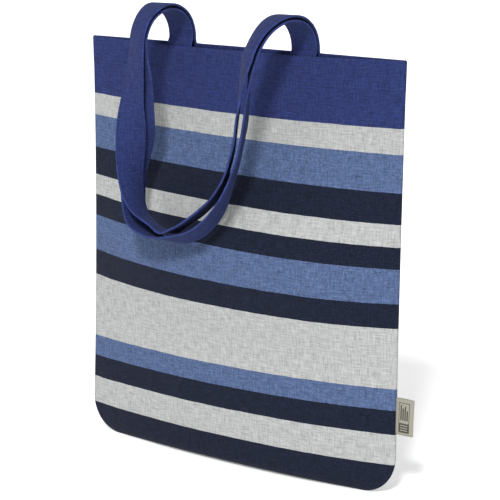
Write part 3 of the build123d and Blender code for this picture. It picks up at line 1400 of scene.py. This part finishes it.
@dataclass
class Studio:
    """The floor, the lights and the camera."""

    yaw: float = 36.5
    pitch: float = 12.2
    roll: float = 0.75
    distance: float = 2.3425
    aim: tuple[float, float, float] = (0.0069, 0.0072, 0.2179)
    lens: float = 169.5
    floor_size: float = 20.0
    sky: float = 0.68
    sun_strength: float = 2.9
    sun_angle: float = 9.0
    sun_azimuth: float = 25.0
    sun_height: float = 38.0

    def build(self, floor_material: bpy.types.Material) -> None:
        """Makes everything round the bag.

        Args:
            floor_material: The floor's material.
        """
        self._floor(floor_material)
        self._camera()
        self._sun()
        world = bpy.data.worlds.new("studio")
        world.use_nodes = True
        background = world.node_tree.nodes["Background"]
        background.inputs["Color"].default_value = (1.0, 1.0, 1.0, 1.0)
        background.inputs["Strength"].default_value = self.sky
        bpy.context.scene.world = world
        bpy.context.scene.view_settings.view_transform = "Standard"

    def _floor(self, material: bpy.types.Material) -> None:
        """Makes the floor."""
        mesh = bmesh.new()
        bmesh.ops.create_grid(mesh, x_segments=8, y_segments=8, size=self.floor_size / 2)
        make_piece(mesh, "floor", material)

    def _camera(self) -> None:
        """Makes the camera and sets it as the scene's."""
        data = bpy.data.cameras.new("camera")
        data.lens = self.lens
        data.clip_start, data.clip_end = 0.05, 60.0
        camera = bpy.data.objects.new("camera", data)
        bpy.context.scene.collection.objects.link(camera)
        turn = (Matrix.Rotation(math.radians(self.yaw), 4, "Z")
                @ Matrix.Rotation(math.radians(90 - self.pitch), 4, "X")
                @ Matrix.Rotation(math.radians(self.roll), 4, "Z"))
        back = turn @ Vector((0, 0, 1))
        camera.matrix_world = Matrix.Translation(Vector(self.aim) + back * self.distance) @ turn
        bpy.context.scene.camera = camera

    def _sun(self) -> None:
        """Adds the key light, a broad soft source in front of the bag and to its right."""
        data = bpy.data.lights.new("key", "SUN")
        data.energy, data.angle = self.sun_strength, math.radians(self.sun_angle)
        light = bpy.data.objects.new("key", data)
        bpy.context.scene.collection.objects.link(light)
        azimuth, height = math.radians(self.sun_azimuth), math.radians(self.sun_height)
        source = Vector((math.sin(azimuth) * math.cos(height), -math.cos(azimuth) * math.cos(height),
                         math.sin(height)))
        light.rotation_euler = (-source).to_track_quat("-Z", "Y").to_euler()


# ---------------------------------------------------------------- putting it together

BANDS = (
    (30, Dye.NAVY), (28, Dye.PALE), (24, Dye.NAVY), (22, Dye.MID_BLUE), (62, Dye.PALE), (26, Dye.NAVY),
    (34, Dye.MID_BLUE), (22, Dye.NAVY), (22, Dye.PALE), (30, Dye.NAVY), (34, Dye.MID_BLUE), (24, Dye.PALE),
    (62, Dye.INDIGO),
)
FRONT_ROUTE = (
    (-73, -63, 390, 108), (-77, -61, 355, 82), (-84, -57, 325, 45), (-90, -57, 292, 20), (-91, -56, 264, 12),
    (-86, -57, 246, 5), (-70, -59, 236, -5), (-50, -59, 232, -15), (-25, -59, 236, -20), (-5, -59, 246, -10),
    (12, -59, 262, 0), (26, -59, 285, 15), (38, -59, 315, 25), (48, -60, 352, 28), (55, -64, 390, 35),
)
BACK_ROUTE = (
    (-79, -69, 395, 108), (-83, -69, 358, 84), (-85, -68, 326, 45), (-86, -67, 295, 20), (-84, -64, 272, 4),
    (-75, -60, 252, -15), (-60, -59, 243, -18), (-46, -59, 239, -8), (-28, -59, 248, 0), (-5, -59, 264, 3),
    (15, -59, 284, 12), (28, -60, 308, 25), (38, -62, 340, 32), (47, -68, 375, 35), (55, -73, 405, 45),
)


def lay_stripes(bands: Sequence[tuple[float, Dye]]) -> tuple[tuple[float, Dye], ...]:
    """Stacks bands of cloth from the bottom seam up.

    Args:
        bands: The height in millimetres and the dye of each, from the lowest.

    Returns:
        Where each band starts on the cloth's map, and its dye.
    """
    level, stripes = 0.0, []
    for height, dye in bands:
        stripes.append((level + MAP_FOOT if level else 0.0, dye))
        level += height * MM
    return tuple(stripes)


def main() -> None:
    """Builds the bag's pieces in order and dresses them."""
    logging.basicConfig(level=logging.INFO, format="%(message)s")
    _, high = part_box("front_panel")
    hem_low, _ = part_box("front_hem")
    bag = BagSizes(half_width=high.x, height=high.z, hem_depth=high.z - hem_low.z)
    front = PanelForm(
        bag, FRONT, lean=0.12, seed=1.0,
        depths=((0.0, 19 * MM), (0.05, 23 * MM), (0.12, 27 * MM), (0.21, 39 * MM), (0.27, 28 * MM),
                (0.32, 13.5 * MM), (0.37, 9.5 * MM), (0.42, 8 * MM)))
    back = PanelForm(
        bag, BACK, lean=-0.05, sag=0.25, seed=31.0,
        depths=((0.0, 19 * MM), (0.05, 24 * MM), (0.12, 30 * MM), (0.21, 35 * MM), (0.32, 20 * MM),
                (0.42, 9 * MM)))
    stripes = lay_stripes(BANDS)
    canvas = StripedCotton("striped_canvas", stripes=stripes).make()
    navy = PlainCotton("navy_canvas", dye=Dye.NAVY).make()
    strap = PlainCotton("strap_canvas", dye=Dye.INDIGO, width=30 * MM, fold_wear=0.35).make()
    thread = Thread("indigo_thread", roughness=0.6).make()
    tape = LabelTape("label_tape", roughness=0.8).make()

    Panel(front, "front_panel", "front_hem").build(canvas)
    Panel(back, "back_panel", "back_hem").build(canvas)
    HemStitching((front, back)).build(thread)
    SeamAllowances(bag, (front.left_waist, front.right_waist)).build(canvas, navy, thread)

    arch_centre = (-33 * MM, bag.height + 4 * MM)
    twists = (-25, -36)
    front_handle = Handle("front", front, -3 * MM, arch_centre, 31.5 * MM, FRONT_ROUTE, twists,
                          (Vector((-2, 0, 0)) * MM, Vector((-11, -5, 0)) * MM), seed=5.6)
    back_handle = Handle("back", back, 3 * MM, arch_centre, 36 * MM, BACK_ROUTE, twists,
                         (Vector((-2, 0, 0)) * MM, Vector((-13, -6, 0)) * MM), seed=6.8)
    for handle in (front_handle, back_handle):
        handle.build(strap, thread)
    EndStitching((front_handle, back_handle)).build(thread)
    SideLabel(*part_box("side_label")).build(tape)

    Studio().build(StudioFloor("pale_floor", roughness=0.95).make())


if __name__ == "__main__":
    main()
